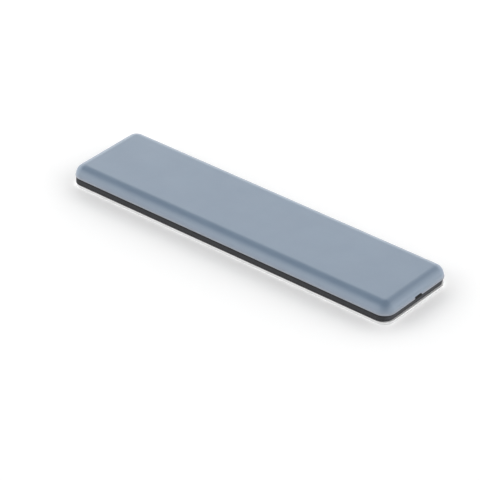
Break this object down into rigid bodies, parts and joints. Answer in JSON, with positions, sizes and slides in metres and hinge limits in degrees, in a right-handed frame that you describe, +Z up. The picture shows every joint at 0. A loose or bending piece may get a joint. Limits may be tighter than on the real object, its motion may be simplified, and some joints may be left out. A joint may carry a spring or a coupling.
{
  "type": "furniture glide pad",
  "caption": "Oblong self-adhesive glide pad for furniture feet: a hard slippery cap with a round shoulder on a soft rubber core, foam tape under it and a release liner.",
  "frame": {"origin": "middle of the release liner's underside, which the pad lies on", "axes": "+X along the pad towards the end with the gate mark, +Z up through the layers towards the glide face"},
  "size_m": [0.1, 0.025, 0.0057],
  "materials": {
    "glide_cap": "smooth satin moulded fluoropolymer, blue-grey",
    "cushion_core": "matt charcoal rubber with fine closed pores",
    "adhesive": "clear tacky acrylic coat",
    "foam_tape": "matt white closed-cell foam",
    "release_liner": "smooth white coated paper, slightly shiny on the side that meets the adhesive"
  },
  "bodies": {
    "pad": {"glide_cap": "glide_cap", "cushion_core": "cushion_core", "upper_adhesive": "adhesive", "foam_tape": "foam_tape", "lower_adhesive": "adhesive"},
    "liner": {"release_liner": "release_liner"}
  },
  "joints": [
    {"name": "liner_release", "type": "slide", "parent": "pad", "child": "liner", "axis": [0, -1, 0], "range_m": [0, 0.027]}
  ]
}
